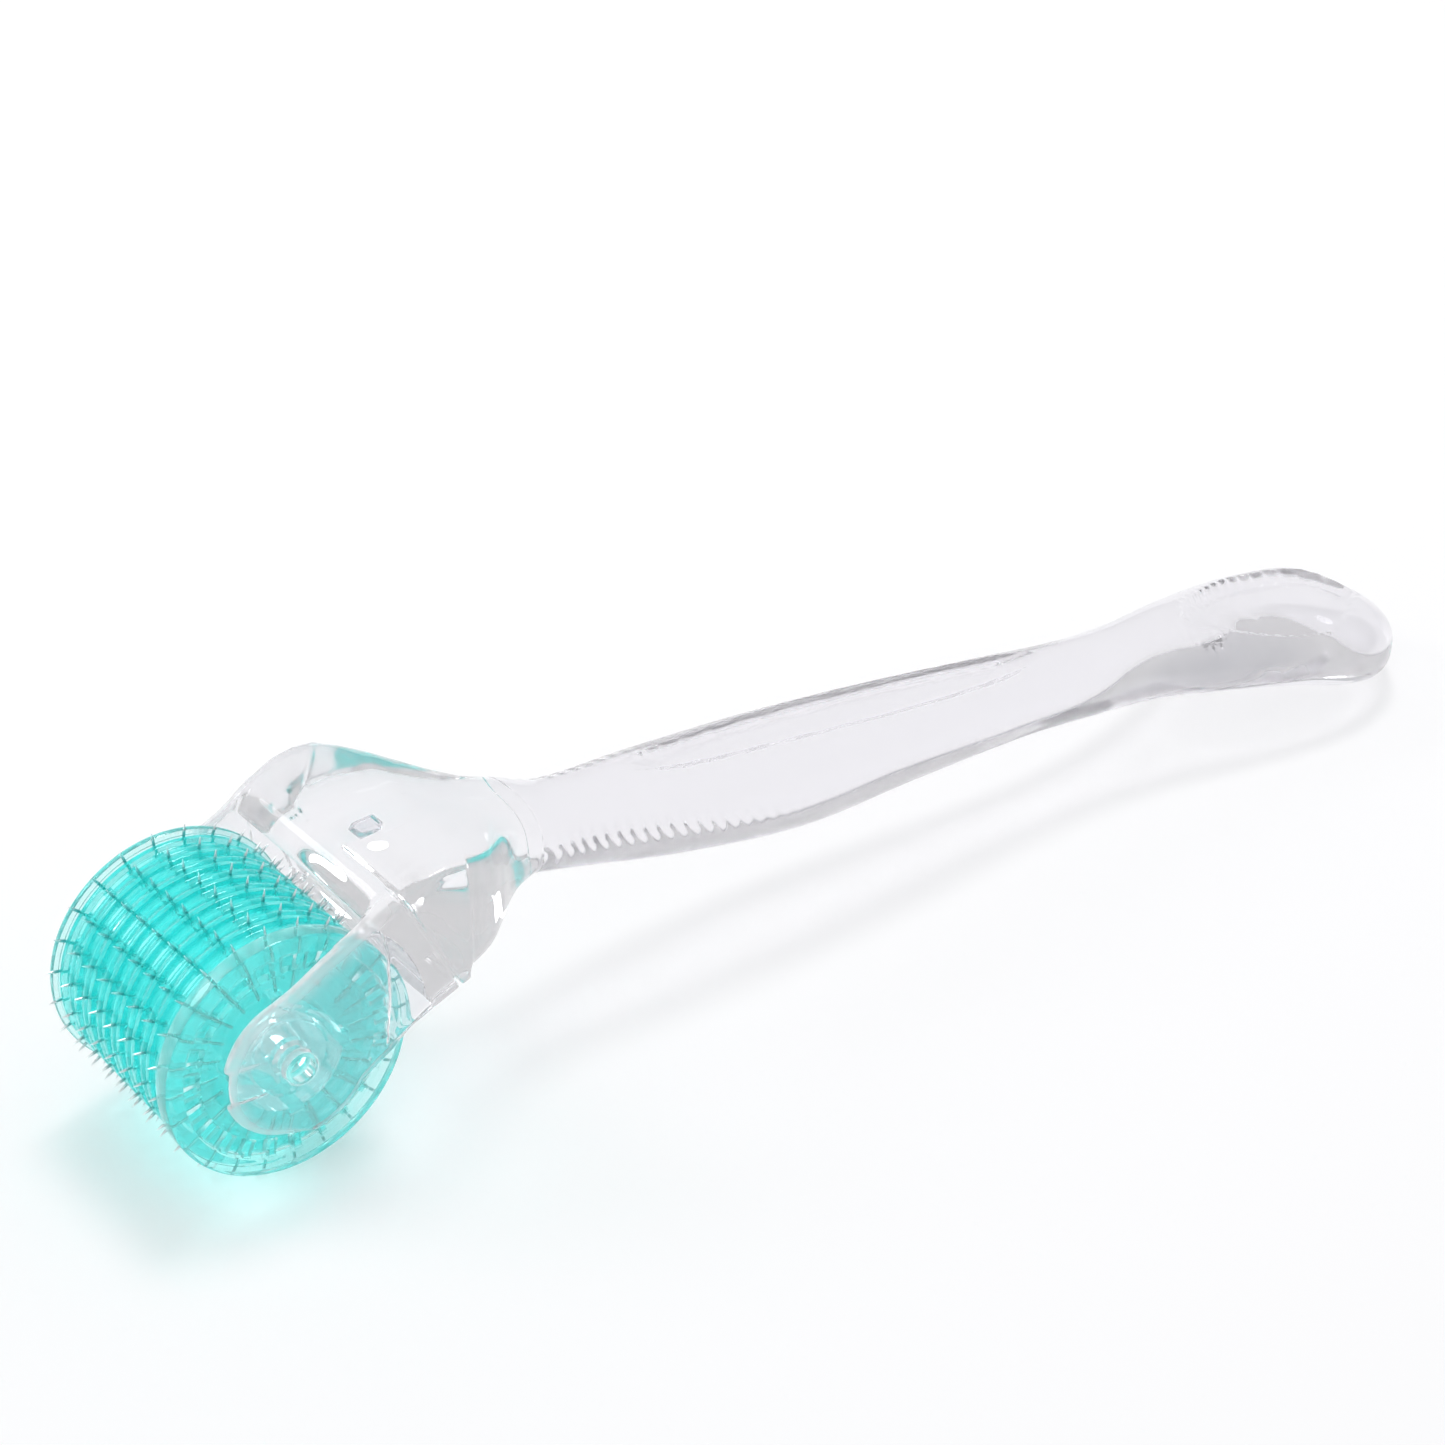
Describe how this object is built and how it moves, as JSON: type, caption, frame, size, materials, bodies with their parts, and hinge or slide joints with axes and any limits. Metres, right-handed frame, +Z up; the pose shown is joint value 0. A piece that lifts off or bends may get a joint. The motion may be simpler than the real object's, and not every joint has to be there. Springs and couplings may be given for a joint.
{
  "type": "derma roller",
  "caption": "Hand-held derma roller: a clear plastic handle with a fork-shaped yoke that carries a free-turning translucent drum of fine steel needles.",
  "frame": {"origin": "on the surface that the roller lies on, under the middle of its whole length and width", "axes": "+X from the drum towards the tail of the handle, +Y along the drum's axle towards the thin end cap, +Z up from the surface it lies on"},
  "size_m": [0.1416, 0.0232, 0.0241],
  "materials": {
    "clear_yoke": "clear injection-moulded polycarbonate, polished",
    "clear_grip": "clear injection-moulded polycarbonate, polished, with fine grip serrations",
    "teal_hub": "translucent teal moulded plastic",
    "teal_cap": "translucent light teal moulded plastic",
    "teal_disc": "translucent saturated teal moulded plastic",
    "needle_steel": "bright drawn stainless steel wire, ground points"
  },
  "bodies": {
    "handle": {"yoke": "clear_yoke", "handle_grip": "clear_grip"},
    "drum": {"drum_hub": "teal_hub", "end_cap_left": "teal_cap", "end_cap_right": "teal_cap", "needle_disc_1": "teal_disc", "needle_disc_2": "teal_disc", "needle_disc_3": "teal_disc", "needle_disc_4": "teal_disc", "needle_disc_5": "teal_disc", "needle_disc_6": "teal_disc", "needle_disc_7": "teal_disc", "needles_row_1": "needle_steel", "needles_row_2": "needle_steel", "needles_row_3": "needle_steel", "needles_row_4": "needle_steel", "needles_row_5": "needle_steel", "needles_row_6": "needle_steel", "needles_row_7": "needle_steel", "needles_row_8": "needle_steel"}
  },
  "joints": [
    {"name": "drum_spin", "type": "hinge", "parent": "handle", "child": "drum", "pos_m": [-0.05985, 0, 0.011], "axis": [0, 1, 0], "continuous": true}
  ]
}
